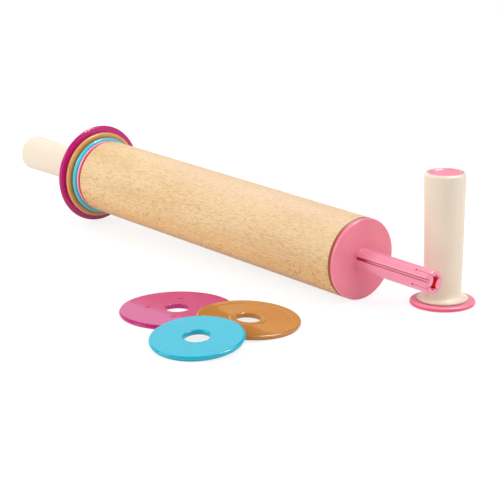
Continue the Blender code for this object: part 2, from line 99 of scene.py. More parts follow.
class BarrelSizes(bpy.types.PropertyGroup):
    """Sizes of the beech barrel."""

    edge: length("Edge", 0.0015, "Chamfer at both ends of the barrel")
    ease: length("Ease", 0.0003, "Sanded rounding of the chamfer's corners")
    bore_radius: length("Bore radius", 0.0100, "Radius of the bore for a hub's spigot")
    bore_depth: length("Bore depth", 0.0243, "Depth of that bore")
    steps: IntProperty(name="Facets", description="Facets round the barrel", default=256, min=3)


class HubSizes(bpy.types.PropertyGroup):
    """Sizes of a hub with its shaft and snap fingers."""

    plate: length("Plate", 0.0035, "Thickness of the plate")
    plate_edge: length("Plate edge", 0.0010, "Rounding of the plate's outer rim")
    back_edge: length("Back edge", 0.0010, "Rounding of the plate's rim at the wood")
    spigot_radius: length("Spigot radius", 0.0097, "Radius of the spigot in the barrel")
    spigot_nose: length("Spigot nose", 0.0015, "Chamfer at the end of the spigot")
    spigot: length("Spigot", 0.0240, "Length of the spigot")
    shaft_radius: length("Shaft radius", 0.0082, "Radius of the shaft")
    shaft: length("Shaft", 0.0690, "Length of the shaft beyond the plate")
    fillet: length("Fillet", 0.0003, "Fillet where the shaft leaves the plate")
    barb_rise: length("Barb rise", 0.0003, "How far the snap fingers stand out of the shaft")
    barb: length("Barb", 0.0065, "Length of the raised band of the fingers")
    barb_ramp: length("Barb ramp", 0.0015, "Ramp up to the raised band")
    barb_crest: length("Barb crest", 0.0004, "Rounding where the ramp meets the raised band")
    barb_foot: length("Barb foot", 0.0008, "Rounding where the ramp leaves the shaft")
    nose: length("Nose", 0.0018, "Rounding of the fingers' ends")
    ease: length("Ease", 0.00025, "Chamfer where the hollow, the reliefs and the keyways open")
    slit: length("Slit", 0.0135, "Length of the slits between the fingers")
    slit_width: length("Slit width", 0.0003, "Width of those slits")
    slit_hole: length("Slit hole", 0.0008, "Radius of the hole that each slit starts from")
    slit_angle: angle("Slit angle", 38, "Angle from a keyway to the mouths of the slits beside it")
    slit_start: length("Slit start", 0.0005, "How far a slit's inner end lies inside the hollow's corner")
    keyway_width: length("Keyway width", 0.0022, "Width of the keyways along the shaft")
    keyway_depth: length("Keyway depth", 0.0026, "Depth of the two channels along the keyways' sides")
    keyway_land: length("Keyway land", 0.0010, "Depth of the land between those channels")
    keyway_channel: length("Keyway channel", 0.0006, "Width of those channels")
    keyway_start: length("Keyway start", 0.0001, "Distance from the plate to the keyways' round starts")
    keyway_root: length("Keyway root", 0.012, "Length over which the land rises to its full height")
    keyway_rise: share("Keyway rise", 0.3, "Where the land starts to rise, as a share of that length")
    root_width: share("Root width", 0.98, "Width of the keyways' roots, as a share of the keyways' width")
    root_rest: length("Root rest", 0.0001, "How far above the land the rise in the root ends")
    hollow_height: length("Hollow height", 0.0080, "Height of the waisted hollow")
    hollow_waist: length("Hollow waist", 0.0036, "Width of the hollow at its waist")
    hollow_width: length("Hollow width", 0.0070, "Width of the hollow at its top and bottom")
    hollow_depth: length("Hollow depth", 0.0600, "Depth of the hollow")
    relief_width: length("Relief width", 0.0034, "Width of the half-moon reliefs above and below the hollow")
    relief_rise: length("Relief rise", 0.0009, "Height of those reliefs")
    relief_web: length("Relief web", 0.0003, "Wall between the hollow and a relief")
    # Painted highlight: how far the left plate's pale rim reaches
    highlight_reach: length("Rim reach", 0.0004, "How far the left plate's pale rim reaches past its face")
    shade_radius: length("Shade radius", 0.0066, "Radius inside which the keyways are in the shade")
    # Painted glow: radius of the hollow's deep pink
    glow_radius: length("Deep radius", 0.00512, "Radius inside which the hollow has its deep pink")
    roll: angle("Roll", -20, "Turn of the hubs about the pin's axis")
    steps: IntProperty(name="Facets", description="Facets round the hub", default=160, min=3)


class DiscSizes(bpy.types.PropertyGroup):
    """Sizes that all thickness discs share."""

    rim: length("Rim", 0.0013, "Rounding of the rim's outer edge")
    ease: length("Ease", 0.00035, "Rounding of the bead's and the ring's corners")
    bead: length("Bead", 0.0042, "Flat width of the raised bead inside the rim")
    recess: length("Recess", 0.0003, "Depth of the face between the bead and the ring at the hole")
    slope: length("Slope", 0.0012, "Width of the slopes down to that recess")
    ring: length("Ring", 0.0024, "Width of the raised ring at the hole")
    hole_radius: length("Hole radius", 0.0088, "Radius of the hole")
    hole_round: length("Hole rounding", 0.0011, "Rounding of the hole's edge in the face")
    hole_edge: length("Hole edge", 0.0003, "Rounding of the hole's edge in the back")
    back_inset: length("Back inset", 0.0009, "How far the flat back stops short of the rim")
    back_step: length("Back step", 0.0011, "Height of the step from the back to the rim")
    back_edge: length("Back edge", 0.0007, "Rounding of the rim's edge beside that step")
    back_ease: length("Back ease", 0.00021, "Rounding of the flat back's own edge")
    mark_radius: length("Mark radius", 0.0022, "Radius of the ejector marks in the back")
    mark_depth: length("Mark depth", 0.00022, "Depth of the ejector marks")
    mark_circle: length("Mark circle", 0.0210, "Distance of the ejector marks from the disc's axis")
    mark_turn: angle("Mark turn", 45, "Angle of the first ejector mark")
    steps: IntProperty(name="Facets", description="Facets round a disc", default=224, min=3)


class HandleSizes(bpy.types.PropertyGroup):
    """Sizes of a handle: core, grip and end cap."""

    height: length("Height", 0.0955, "Length of the handle")
    flange_radius: length("Flange radius", 0.0234, "Radius of the core's flange")
    flange: length("Flange", 0.0030, "Thickness of the flange")
    flange_edge: length("Flange edge", 0.0012, "Rounding of the flange's rim")
    # Painted shade on the flange's lower rim
    flange_shade: length("Flange shade", 0.0027, "Height to which the flange's rim is in the shade")
    core_bore: length("Core bore", 0.00875, "Radius of the core's bore")
    core_radius: length("Core radius", 0.01055, "Radius of the core's sleeve")
    core_mouth: length("Core mouth", 0.0006, "Chamfer at the mouth of the bore")
    key_length: length("Key length", 0.0300, "Length of the keys in the bore")
    key_start: length("Key start", 0.0040, "Distance from the mouth to the keys")
    key_width: length("Key width", 0.0016, "Width of the keys")
    key_reach: length("Key reach", 0.0073, "Distance of the keys' faces from the axis")
    key_back: share("Key back", 0.9, "How far the keys reach into the sleeve, as a share of its wall")
    grip_bore: length("Grip bore", 0.01085, "Radius of the grip's bore")
    grip_gap: length("Grip gap", 0.0003, "Gap between the flange and the grip's foot")
    neck_radius: length("Neck radius", 0.0133, "Radius of the grip above its flare")
    lip_radius: length("Lip radius", 0.0182, "Radius of the grip's foot")
    lip: length("Lip", 0.0019, "Thickness of the grip's foot at its rim")
    flare: length("Flare", 0.0048, "Height of the concave flare above the foot")
    shoulder: length("Shoulder", 0.0024, "Rounding of the grip's outer end")
    rim_width: length("Rim width", 0.00215, "How far the grip stands outside the cap")
    fit: length("Fit", 0.0003, "Gap round the cap")
    cap_radius: length("Cap radius", 0.0126, "Radius of the end cap")
    cap: length("Cap", 0.0028, "Thickness of the end cap")
    cap_rim: length("Cap rim", 0.0016, "Width of the cap's raised rim")
    cap_dish: length("Cap dish", 0.0011, "Depth of the dish inside the rim")
    cap_inside: length("Cap inside", 0.0004, "Rounding of the raised rim's inner edge")
    cap_outside: length("Cap outside", 0.0005, "Rounding of the raised rim's outer edge")
    cap_corner: length("Cap corner", 0.0006, "Rounding where the slope from the rim meets the dish")
    cap_boss: length("Cap boss", 0.0078, "Radius of the low boss in the middle of the dish")
    boss_middle: share("Boss middle", 0.45, "Height of the boss's middle, as a share of the dish's depth")
    boss_brow: share("Boss brow", 0.35, "Height of the boss at its radius, as a share of the dish's depth")
    boss_slope: share("Boss slope", 1.4, "Width of the slope round the boss, as a share of the dish's depth")
    boss_round: length("Boss rounding", 0.0008, "Rounding of the corners of that slope")
    skirt: length("Skirt", 0.0090, "Length of the cap's skirt")
    skirt_wall: length("Skirt wall", 0.0016, "Thickness of the skirt")
    steps: IntProperty(name="Facets", description="Facets round a handle", default=160, min=3)


class Finishes(bpy.types.PropertyGroup):
    """Colours of the pieces, and the painted light and shade that some of them carry."""

    beech_light: tint("Light beech", "ebca9a", "Beech between its rays")
    beech_dark: tint("Dark beech", "ddb57d", "Darker streaks in the beech")
    # Painted shade: the warmer tone of the barrel's underside
    beech_underside_shade: tint("Low beech", "f4ac44", "What the underside of the barrel tends to")
    # Painted highlight: the paler top of the barrel
    beech_top_highlight: tint("High beech", "edd1b8", "What the top of the barrel tends to")
    beech_fleck: tint("Beech fleck", "a4580a", "The short dark rays and pores")
    # Besides the turned edges and the rays, this colour is the painted shade of the barrel's lowest strip
    beech_end_and_shade: tint("Beech end", "a9683a", "The turned edges at the barrel's ends, and its rays")
    pink: tint("Pink", "f58aa1", "Plates of the hubs")
    # Painted highlight on the left plate's rim
    pink_rim: tint("Pink rim", "ffc2d2", "Rim of the left plate, where light comes through the plastic")
    # A paler pink: on the shafts it is a painted sheen; the flanges and end caps are paler too
    pink_pale_and_sheen: tint("Pale pink", "f592ab", "Shafts, flanges and end caps, through which some light comes")
    pink_shade: tint("Pink shade", "ea4c74", "Keyways and the plates' edges at the wood, in the shade")
    # Painted shade on the flanges' lower rim
    pink_foot_shade: tint("Pink foot", "f35b7d", "Lower rim of the flanges, in the shade")
    # Painted glow of light through the plastic, deep in the hollow
    pink_deep_glow: tint("Deep pink", "ff2d45", "The pink plastic deep inside the hollow of a shaft")
    cream: tint("Cream", "ecddc7", "Grips")
    blue: tint("Blue", "10b2cc", "The smallest discs")
    # Painted highlight on the mounted smallest disc's rim
    blue_rim: tint("Blue rim", "52d2e8", "Rim of the mounted smallest disc, where light comes through")
    brown: tint("Brown", "c17f37", "The middle discs")
    # Painted highlight on the mounted middle disc's rim
    brown_rim: tint("Brown rim", "e6a664", "Rim of the mounted middle disc, where light comes through")
    magenta: tint("Magenta", "c10a76", "The largest discs")
    floor: tint("Floor", "e9e9e9", "Table top, as it lights the pieces")
    floor_seen: tint("Floor seen", "828282", "Table top, as it is seen before the light that is added")


class Studio(bpy.types.PropertyGroup):
    """Camera, lamps and surroundings."""

    lens: share("Focal length", 116.23, "Focal length in millimetres on a 36 mm sensor")
    sensor: share("Sensor", 36.0, "Width of the sensor in millimetres")
    camera_offset: FloatVectorProperty(
        name="Camera", description="Camera's place from the foot of the standing handle",
        subtype="TRANSLATION", unit="LENGTH", size=3, default=(0.73827, -0.82175, 0.34374),
    )
    yaw: angle("Yaw", -49.028, "Heading of the camera from +Y, clockwise")
    pitch: angle("Pitch", 15.464, "How far the camera looks down")
    tilt: angle("Tilt", 0.561, "Turn of the camera about its line of sight")
    floor_size: length("Floor size", 14.0, "Side of the table top")
    floor_drop: length("Floor drop", 0.0002, "How far the table top lies below the pieces, clear of them")
    surround: share("Surround", 0.62, "Strength of the even light from all round")
    gloom: share("Gloom", 0.06, "Strength of what the pieces mirror from above the pale backdrop")
    backdrop: share("Backdrop", 0.20, "Height of the pale backdrop, as the upward share of a line of sight")
    backdrop_fade: share("Backdrop fade", 0.4, "How far about that height it fades, as a share of it")
    floor_lift: share("Floor lift", 0.82, "Light added to the table top in the picture, so that it is white")


class RollingPinSettings(bpy.types.PropertyGroup):
    """All settings of the rolling pin."""

    barrel: PointerProperty(type=BarrelSizes)
    hub: PointerProperty(type=HubSizes)
    disc: PointerProperty(type=DiscSizes)
    handle: PointerProperty(type=HandleSizes)
    finish: PointerProperty(type=Finishes)
    studio: PointerProperty(type=Studio)


def eased(corners, steps=5):
    """Outline through corners (x, y, radius), each rounded by the arc of that radius that touches both sides.

    With u and v the unit vectors from the corner to its neighbours and w half the angle between them, the
    arc's centre is the corner plus radius / sin(w) along u + v, and it starts radius / tan(w) along u. One
    more point on each straight side, a little beyond the arc, keeps the arc's smooth shading off the flat.
    """
    points = np.array([corner[:2] for corner in corners], float)
    before = np.roll(points, 1, axis=0) - points
    after = np.roll(points, -1, axis=0) - points
    outline = []
    for point, u, v, (_, _, radius) in zip(points, before, after, corners):
        if radius <= 0:
            outline.append(point[None])
            continue
        u = u / np.linalg.norm(u)
        v = v / np.linalg.norm(v)
        half = math.acos(np.clip(u @ v, -1, 1)) / 2
        centre = point + (u + v) / np.linalg.norm(u + v) * radius / math.sin(half)
        start = point + u * radius / math.tan(half) - centre
        end = point + v * radius / math.tan(half) - centre
        first = math.atan2(start[1], start[0])
        sweep = (math.atan2(end[1], end[0]) - first + math.pi) % math.tau - math.pi
        turns = first + sweep * np.linspace(0, 1, steps + 1)
        outline.append((centre + start + u * radius * SUPPORT)[None])
        outline.append(centre + radius * np.stack([np.cos(turns), np.sin(turns)], axis=1))
        outline.append((centre + end + v * radius * SUPPORT)[None])
    return np.concatenate(outline)


def arc(centre, radii, start, end, steps):
    """Elliptic arc: centre + (a cos t, b sin t), with t from start to end in degrees."""
    turns = np.radians(np.linspace(start, end, steps + 1))
    return np.array(centre) + np.stack([radii[0] * np.cos(turns), radii[1] * np.sin(turns)], axis=1)


def turned(outline, steps):
    """Surface of revolution (r cos t, r sin t, z) of the closed outline of points (r, z).

    Points on the axis become one pole each, and the stretch along the axis between two poles is left out.
    """
    radii, heights = np.array(outline).T
    turns = np.linspace(0, math.tau, steps, endpoint=False)
    grid = np.stack([
        radii[:, None] * np.cos(turns),
        radii[:, None] * np.sin(turns),
        np.repeat(heights[:, None], steps, axis=1),
    ], axis=2)
    index = np.arange(grid.shape[0] * steps).reshape(-1, steps)
    poles = radii < ON_AXIS
    index[poles] = index[poles, :1]
    across = np.roll(index, -1, axis=1)
    lower = np.roll(index, -1, axis=0)
    lower_across = np.roll(across, -1, axis=0)
    faces = np.stack([index, lower, lower_across, across], axis=2)
    top_pole = poles & ~np.roll(poles, -1)
    bottom_pole = ~poles & np.roll(poles, -1)
    walls = ~poles & ~np.roll(poles, -1)
    below_pole = faces[top_pole][..., [0, 1, 2]].reshape(-1, 3)
    above_pole = faces[bottom_pole][..., [0, 1, 3]].reshape(-1, 3)
    sides = faces[walls].reshape(-1, 4)
    return grid.reshape(-1, 3), below_pole.tolist() + above_pole.tolist() + sides.tolist()


def loft(outlines, heights):
    """Closed outlines in XY, alike in number of points, joined by straight sides from height to height.

    The first and last outlines are closed by flat ends.
    """
    count = len(outlines[0])
    levels = [np.c_[np.array(outline), np.full(count, height)] for outline, height in zip(outlines, heights)]
    index = np.arange(count)
    after = np.roll(index, -1)
    band = np.stack([index, after, after + count, index + count], axis=1)
    bands = band + np.arange(len(outlines) - 1)[:, None, None] * count
    top = index + (len(outlines) - 1) * count
    return np.concatenate(levels), bands.reshape(-1, 4).tolist() + [index[::-1].tolist(), top.tolist()]


def prism(outline, low, high):
    """Closed outline in XY carried straight from one height to another, with flat ends."""
    return loft([outline, outline], [low, high])


def rectangle(width, depth, centre=(0.0, 0.0)):
    """Four corners of a rectangle about its centre."""
    corners = np.array([(-1, -1), (1, -1), (1, 1), (-1, 1)])
    return corners * np.array([width, depth]) / 2 + np.array(centre)


def circle(radius, steps=32):
    """Points (r cos t, r sin t) round a circle."""
    return arc((0, 0), (radius, radius), 0, 360, steps)[:-1]


def mesh_of(name, surface, turn=None):
    """Mesh of points and faces, welded, with its faces outwards, and moved by a matrix where one is given."""
    points, faces = surface
    mesh = bpy.data.meshes.new(name)
    mesh.from_pydata(points.tolist(), [], faces)
    tidy(mesh)
    if turn is not None:
        mesh.transform(turn)
    return mesh


def tidy(mesh):
    """Weld the points, drop loose ones and turn all faces outwards."""
    shape = bmesh.new()
    shape.from_mesh(mesh)
    bmesh.ops.delete(shape, geom=[v for v in shape.verts if not v.link_faces], context="VERTS")
    bmesh.ops.remove_doubles(shape, verts=shape.verts, dist=WELD)
    bmesh.ops.recalc_face_normals(shape, faces=shape.faces)
    shape.to_mesh(mesh)
    shape.free()


def shaped(mesh, operation, tools):
    """Mesh after cutting the tools out of it, or joining them to it."""
    body = bpy.data.objects.new(mesh.name + "_work", mesh)
    bpy.context.scene.collection.objects.link(body)
    helpers = []
    for number, tool in enumerate(tools):
        helper = bpy.data.objects.new(f"{mesh.name}_tool_{number}", tool)
        bpy.context.scene.collection.objects.link(helper)
        step = body.modifiers.new(helper.name, "BOOLEAN")
        step.operation = operation
        step.solver = "EXACT"
        step.object = helper
        helpers.append(helper)
    bpy.context.view_layer.update()
    result = bpy.data.meshes.new_from_object(body.evaluated_get(bpy.context.evaluated_depsgraph_get()))
    result.name = mesh.name
    for used in (body, *helpers):
        bpy.data.objects.remove(used, do_unlink=True)
    tidy(result)
    return result


def seat(node, toward):
    """Axis of a CAD node nearest to a direction, the points where it enters and leaves, and its radius.

    The axis is the principal axis of the node's points, whose mean lies on it because each piece is round or
    has a half turn of symmetry.
    """
    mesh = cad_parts[node].data
    points = np.empty(len(mesh.vertices) * 3, np.float32)
    mesh.vertices.foreach_get("co", points)
    points = np.unique(points.reshape(-1, 3).round(7), axis=0).astype(float)
    middle = points.mean(axis=0)
    _, axes = np.linalg.eigh(np.cov((points - middle).T))
    axis = axes[:, np.abs(axes.T @ np.array(toward)).argmax()]
    axis = axis * np.sign(axis @ np.array(toward))
    along = (points - middle) @ axis
    radius = np.linalg.norm(points - middle - along[:, None] * axis, axis=1).max()
    return Vector(axis), Vector(middle + axis * along.min()), Vector(middle + axis * along.max()), radius


def stand_up(foot, axis, roll=0.0):
    """Matrix that puts a piece's foot at a point and its own Z along the axis, turned about it by the roll.

    The turn takes world up to the axis the short way round, after the roll about the piece's own Z.
    """
    turn = UP.rotation_difference(axis) @ Quaternion(UP, roll)
    return Matrix.Translation(foot) @ turn.to_matrix().to_4x4()


def add_piece(name, mesh, node, body, placing, material):
    """Add a finished piece to a body in place of its CAD node: object at the origin, place in the mesh."""
    mesh = mesh.copy()
    mesh.name = name
    mesh.transform(placing)
    mesh.materials.clear()
    mesh.materials.append(material)
    mesh.shade_smooth()
    mesh.set_sharp_from_angle(angle=SHARP_ANGLE)
    piece = bpy.data.objects.new(name, mesh)
    bpy.context.scene.collection.objects.link(piece)
    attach(piece, body)
    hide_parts(node)


class NodeDesk:
    """Short way to build the nodes of one material or of the world."""

    def __init__(self, owner):
        owner.use_nodes = True
        self.tree = owner.node_tree
        self.tree.nodes.clear()

    def add(self, kind, inputs=None, **settings):
        """A node with its settings, its inputs set to values or linked to sockets."""
        node = self.tree.nodes.new(kind)
        for key, value in settings.items():
            setattr(node, key, value)
        for key, value in (inputs or {}).items():
            if isinstance(value, bpy.types.NodeSocket):
                self.tree.links.new(value, node.inputs[key])
            else:
                node.inputs[key].default_value = value
        return node

    def ramp(self, factor, stops):
        """Colour ramp between its two stops, each (place, colour)."""
        node = self.add("ShaderNodeValToRGB", {"Fac": factor})
        for element, (place, colour) in zip(node.color_ramp.elements, stops):
            element.position = place
            element.color = (*colour, 1.0)
        return node.outputs["Color"]

    def stretch(self, vector, scale):
        """Coordinates multiplied by a scale for each axis."""
        return self.add("ShaderNodeVectorMath", {0: vector, 1: scale}, operation="MULTIPLY").outputs[0]

    def noise(self, vector, detail=2.0, roughness=0.5):
        """Noise of unit scale at the coordinates."""
        inputs = {"Vector": vector, "Scale": 1.0, "Detail": detail, "Roughness": roughness}
        return self.add("ShaderNodeTexNoise", inputs).outputs["Fac"]

    def cells(self, vector):
        """Distance from the coordinates to the nearest of points that are strewn one to each unit cell."""
        inputs = {"Vector": vector, "Scale": 1.0, "Randomness": 1.0}
        return self.add("ShaderNodeTexVoronoi", inputs).outputs["Distance"]

    def math(self, operation, first, second=0.0):
        """One step of arithmetic."""
        return self.add("ShaderNodeMath", {0: first, 1: second}, operation=operation).outputs[0]

    def blend(self, factor, first, second):
        """Mix of two colours, each a socket or a value.

        The node has sockets for every kind of value: its inputs 6 and 7 and its output 2 are the colours.
        """
        node = self.add("ShaderNodeMix", {"Factor": factor}, data_type="RGBA")
        for socket, value in ((node.inputs[6], first), (node.inputs[7], second)):
            if isinstance(value, bpy.types.NodeSocket):
                self.tree.links.new(value, socket)
            else:
                socket.default_value = (*value, 1.0)
        return node.outputs[2]

    def step(self, value, low, high):
        """Smooth step from 0 at one value to 1 at another."""
        inputs = {"Value": value, "From Min": low, "From Max": high}
        return self.add("ShaderNodeMapRange", inputs, interpolation_type="SMOOTHSTEP").outputs[0]

    def span(self, value, source, target):
        """Value carried straight from one range, (low, high), to another, and held at its ends."""
        inputs = {"Value": value, "From Min": source[0], "From Max": source[1]}
        inputs.update({"To Min": target[0], "To Max": target[1]})
        return self.add("ShaderNodeMapRange", inputs).outputs[0]

    def own_place(self, foot, turn):
        """Coordinates of a piece by itself, from the place of its foot and the angles it is turned by."""
        place = self.add("ShaderNodeTexCoord").outputs["Object"]
        inputs = {"Vector": place, "Location": foot, "Rotation": turn}
        return self.add("ShaderNodeMapping", inputs, vector_type="TEXTURE").outputs[0]

    def seen(self):
        """1 for what the camera sees, plainly, mirrored or through a piece, and 0 for light on the pieces."""
        path = self.add("ShaderNodeLightPath")
        direct = self.math("MAXIMUM", path.outputs["Is Camera Ray"], path.outputs["Is Glossy Ray"])
        return self.math("MAXIMUM", direct, path.outputs["Is Transmission Ray"])


# Scales of the beech's patterns, along the grain and across it, in cells per metre
STREAKS = (9, 55, 55)
FIBRES = (130, 1000, 1000)
PORES = (150, 1500, 1500)
RAYS = (330, 190, 190)
RAY_PATCHES = (16, 60, 60)
# Heights from the barrel's axis, in metres, where the beech's tones set in and where they are full: painted
# shade on the underside and on the lowest strip, a painted highlight on the top, and the rays
UNDERSIDE_SHADE = (0.004, -0.026)
LOWEST_SHADE = (-0.017, -0.024)
TOP_HIGHLIGHT = (0.016, 0.028)
RAYS_SET_IN = (-0.003, -0.011)
RAYS_END = (-0.028, -0.022)
# The same for the painted highlight on the top, as places along the barrel from its middle
TOP_HIGHLIGHT_ALONG = (-0.14, 0.02)
# The same for the tone of the turned edges, as multiples of the chamfer from the barrel's ends
EDGE_TONE = (1.15, 0.75)
# Heights over which the pores grow stronger, and how strong they are at these
PORE_HEIGHTS = (0.022, -0.018)
PORE_SHARES = (0.32, 0.62)
# Share of the broad streaks in the grain of the wood; the rest is the fibres'
STREAK_SHARE = 0.45
# Values of the noise between which the wood turns from dark to light, and a patch of rays sets in
GRAIN_RANGE = (0.34, 0.60)
PATCH_RANGE = (0.44, 0.54)
# Distances from its middle, in cells, at which a pore or a ray sets in and at which it is full
PORE_SIZE = (0.42, 0.16)
RAY_SIZE = (0.34, 0.18)


def beech_material(finish, axis, middle, half_length, edge):
    """Sanded beech: soft streaks along the grain, short dark rays and pores, and darker turned edges.

    The pattern is read along the barrel's own axis, and its streaks are noise stretched along the grain. Over
    the plain wood lie, each with its share: painted shade as a warmer underside and a darker lowest strip, a
    painted highlight as a paler top that grows towards the right end, the pores, the rays in patches on the
    lower half, and the tone of the edges.
    """
    material = bpy.data.materials.new("sanded_beech")
    desk = NodeDesk(material)
    grain = desk.own_place(middle, OUTWARD["right"].rotation_difference(axis).to_euler())
    parts = desk.add("ShaderNodeSeparateXYZ", {0: grain})
    along, height = parts.outputs["X"], parts.outputs["Z"]
    streaks = desk.math("MULTIPLY", desk.noise(desk.stretch(grain, STREAKS)), STREAK_SHARE)
    fibres = desk.noise(desk.stretch(grain, FIBRES), roughness=0.6)
    light = desk.step(
        desk.math("ADD", streaks, desk.math("MULTIPLY", fibres, 1 - STREAK_SHARE)), *GRAIN_RANGE
    )
    wood = desk.ramp(light, [(0.0, finish.beech_dark[:]), (1.0, finish.beech_light[:])])
    # Painted highlight on the top, growing towards the right end
    top = desk.math("MULTIPLY", desk.step(height, *TOP_HIGHLIGHT), desk.step(along, *TOP_HIGHLIGHT_ALONG))
    pore = desk.step(desk.cells(desk.stretch(grain, PORES)), *PORE_SIZE)
    pore = desk.math("MULTIPLY", pore, desk.span(height, PORE_HEIGHTS, PORE_SHARES))
    ray = desk.step(desk.cells(desk.stretch(grain, RAYS)), *RAY_SIZE)
    patch = desk.step(desk.noise(desk.stretch(grain, RAY_PATCHES), detail=1.0), *PATCH_RANGE)
    for limit in (patch, desk.step(height, *RAYS_SET_IN), desk.step(height, *RAYS_END)):
        ray = desk.math("MULTIPLY", ray, limit)
    at_edge = [half_length - edge * multiple for multiple in EDGE_TONE]
    for where, share_of_tone, colour in (
        # Painted shade on the underside
        (desk.step(height, *UNDERSIDE_SHADE), 0.46, finish.beech_underside_shade),
        # Painted shade on the lowest strip
        (desk.step(height, *LOWEST_SHADE), 0.32, finish.beech_end_and_shade),
        # Painted highlight on the top
        (top, 0.40, finish.beech_top_highlight),
        (pore, 1.00, finish.beech_fleck),
        (ray, 0.70, finish.beech_end_and_shade),
        (desk.step(desk.math("ABSOLUTE", along), *at_edge), 1.00, finish.beech_end_and_shade),
    ):
        wood = desk.blend(desk.math("MULTIPLY", where, share_of_tone), wood, colour[:])
    bump = desk.add("ShaderNodeBump", {"Height": fibres, "Strength": 0.10, "Distance": 0.0002})
    shader = desk.add("ShaderNodeBsdfPrincipled", {
        "Base Color": wood, "Roughness": desk.span(fibres, (0.0, 1.0), (0.42, 0.58)),
        "Normal": bump.outputs[0], "Sheen Weight": 0.16, "Sheen Roughness": 0.35,
        "Sheen Tint": (1.0, 0.86, 0.80, 1.0),
    })
    desk.add("ShaderNodeOutputMaterial", {"Surface": shader.outputs[0]})
    return material


# Scales of the plastic's patterns, in cells per metre
DRIFT = (45, 45, 45)
SKIN = (1400, 1400, 1400)
WAVES = (38, 38, 38)
# Where most values of a noise lie
NOISE_RANGE = (0.3, 0.7)
# How far the roughness of plastic strays from its mean, as a share of it
UNEVEN = 0.08
# Roughness, depth of the ripples in metres, and drift of the colour as a share, of each kind of plastic
SATIN = (0.34, 0.00006, 0.04)
SOFT = (0.42, 0.00008, 0.02)
POLISHED = (0.05, 0.00006, 0.02)
# Length over which a part's colour sets in, in metres, and the multiple of its radius at which it is gone
FADE = 0.0006
SPREAD = 1.08
# Heights below and above every piece
ALL_HEIGHTS = (-1.0, 1.0)


def plastic_material(name, colour, kind, placing=None, parts=()):
    """Moulded plastic: a slightly drifting colour, a fine skin and long ripples that bend reflections.

    Each of the parts is (radius, low, high, colour): within that radius of the axis of the piece's placing,
    and between those heights, the plastic takes that colour.
    """
    roughness, ripple, drift = kind
    material = bpy.data.materials.new(name)
    desk = NodeDesk(material)
    place = desk.add("ShaderNodeTexCoord").outputs["Object"]
    skin = desk.noise(desk.stretch(place, SKIN), detail=1.0)
    waves = desk.noise(desk.stretch(place, WAVES), detail=1.5, roughness=0.4)
    tones = [Vector(colour) * (1 - drift), Vector(colour) * (1 + drift)]
    shade = desk.ramp(desk.noise(desk.stretch(place, DRIFT)), zip(NOISE_RANGE, tones))
    if parts:
        own = desk.own_place(placing.to_translation(), placing.to_euler())
        off_axis = desk.add("ShaderNodeVectorMath", {0: desk.stretch(own, (1, 1, 0))}, operation="LENGTH")
        height = desk.add("ShaderNodeSeparateXYZ", {0: own}).outputs["Z"]
    for radius, low, high, other in parts:
        where = desk.step(off_axis.outputs["Value"], radius * SPREAD, radius)
        for limit in (desk.step(height, low, low + FADE), desk.step(height, high, high - FADE)):
            where = desk.math("MULTIPLY", where, limit)
        shade = desk.blend(where, shade, other)
    matt = desk.span(skin, NOISE_RANGE, (roughness * (1 - UNEVEN), roughness * (1 + UNEVEN)))
    fine_bump = desk.add("ShaderNodeBump", {"Height": skin, "Strength": 0.04, "Distance": 0.0001})
    bump = desk.add("ShaderNodeBump", {
        "Height": waves, "Strength": 1.0, "Distance": ripple, "Normal": fine_bump.outputs[0],
    })
    shader = desk.add("ShaderNodeBsdfPrincipled", {
        "Base Color": shade, "Roughness": matt, "Normal": bump.outputs[0],
    })
    desk.add("ShaderNodeOutputMaterial", {"Surface": shader.outputs[0]})
    return material


# Scale of the table top's grain, in cells per metre, and how dark its darkest grain is
TABLE_GRAIN = (60, 60, 60)
TABLE_DARKEST = 0.995


def floor_material(colour, seen_colour, lift):
    """White table top: it takes the object's shadow, and light is added only where it is seen.

    What lights the object is the table's own colour. What is seen, plainly or mirrored, is a darker one with
    the added light on top, so that the table is white and its shadows are faint.
    """
    material = bpy.data.materials.new("table_top")
    desk = NodeDesk(material)
    place = desk.add("ShaderNodeTexCoord").outputs["Object"]
    grain = desk.noise(desk.stretch(place, TABLE_GRAIN))
    own = desk.ramp(grain, [(0.0, Vector(colour) * TABLE_DARKEST), (1.0, colour)])
    seen = desk.seen()
    matt = desk.add("ShaderNodeBsdfDiffuse", {"Color": desk.blend(seen, own, seen_colour)})
    glow = desk.add("ShaderNodeEmission", {"Strength": desk.math("MULTIPLY", seen, lift)})
    both = desk.add("ShaderNodeAddShader", {0: matt.outputs[0], 1: glow.outputs[0]})
    desk.add("ShaderNodeOutputMaterial", {"Surface": both.outputs[0]})
    return material


def barrel_mesh(size, radius, half):
    """Barrel: a cylinder with chamfered, sanded ends and a blind bore in each."""
    floor = half - size.bore_depth
    upper = [
        (0, floor, 0), (size.bore_radius, floor, 0), (size.bore_radius, half, 0),
        (radius - size.edge, half, size.ease), (radius, half - size.edge, size.ease),
    ]
    lower = [(r, -z, ease) for r, z, ease in reversed(upper)]
    return mesh_of("barrel", turned(eased(upper + lower), size.steps))


def hollow_outline(size, extra):
    """Waisted outline of the hollow, larger all round by the extra.

    Its half width is waist / 2 + (width - waist) / 2 * h * h at the share h of its half height.
    """
    heights = np.linspace(-1, 1, 17)
    half_width = size.hollow_waist / 2 + (size.hollow_width - size.hollow_waist) / 2 * heights ** 2 + extra
    side = np.stack([half_width, heights * (size.hollow_height / 2 + extra)], axis=1)
    return np.concatenate([side, side[::-1] * (-1, 1)])


def relief_outline(size, extra):
    """Outline of the upper relief, half an ellipse over a flat foot, larger all round by the extra."""
    foot = size.hollow_height / 2 + size.relief_web - extra
    radii = (size.relief_width / 2 + extra, size.relief_rise + 2 * extra)
    return arc((0, foot), radii, 0, 180, steps=16)


def keyway_outline(size, half_width, end):
    """Outline of a keyway laid along -X: a half circle at its start, and straight sides to the end."""
    start = size.keyway_start + size.keyway_width / 2
    return np.concatenate([
        arc((-start, 0), (half_width, half_width), -90, 90, steps=16),
        [(-end, half_width), (-end, -half_width)],
    ])


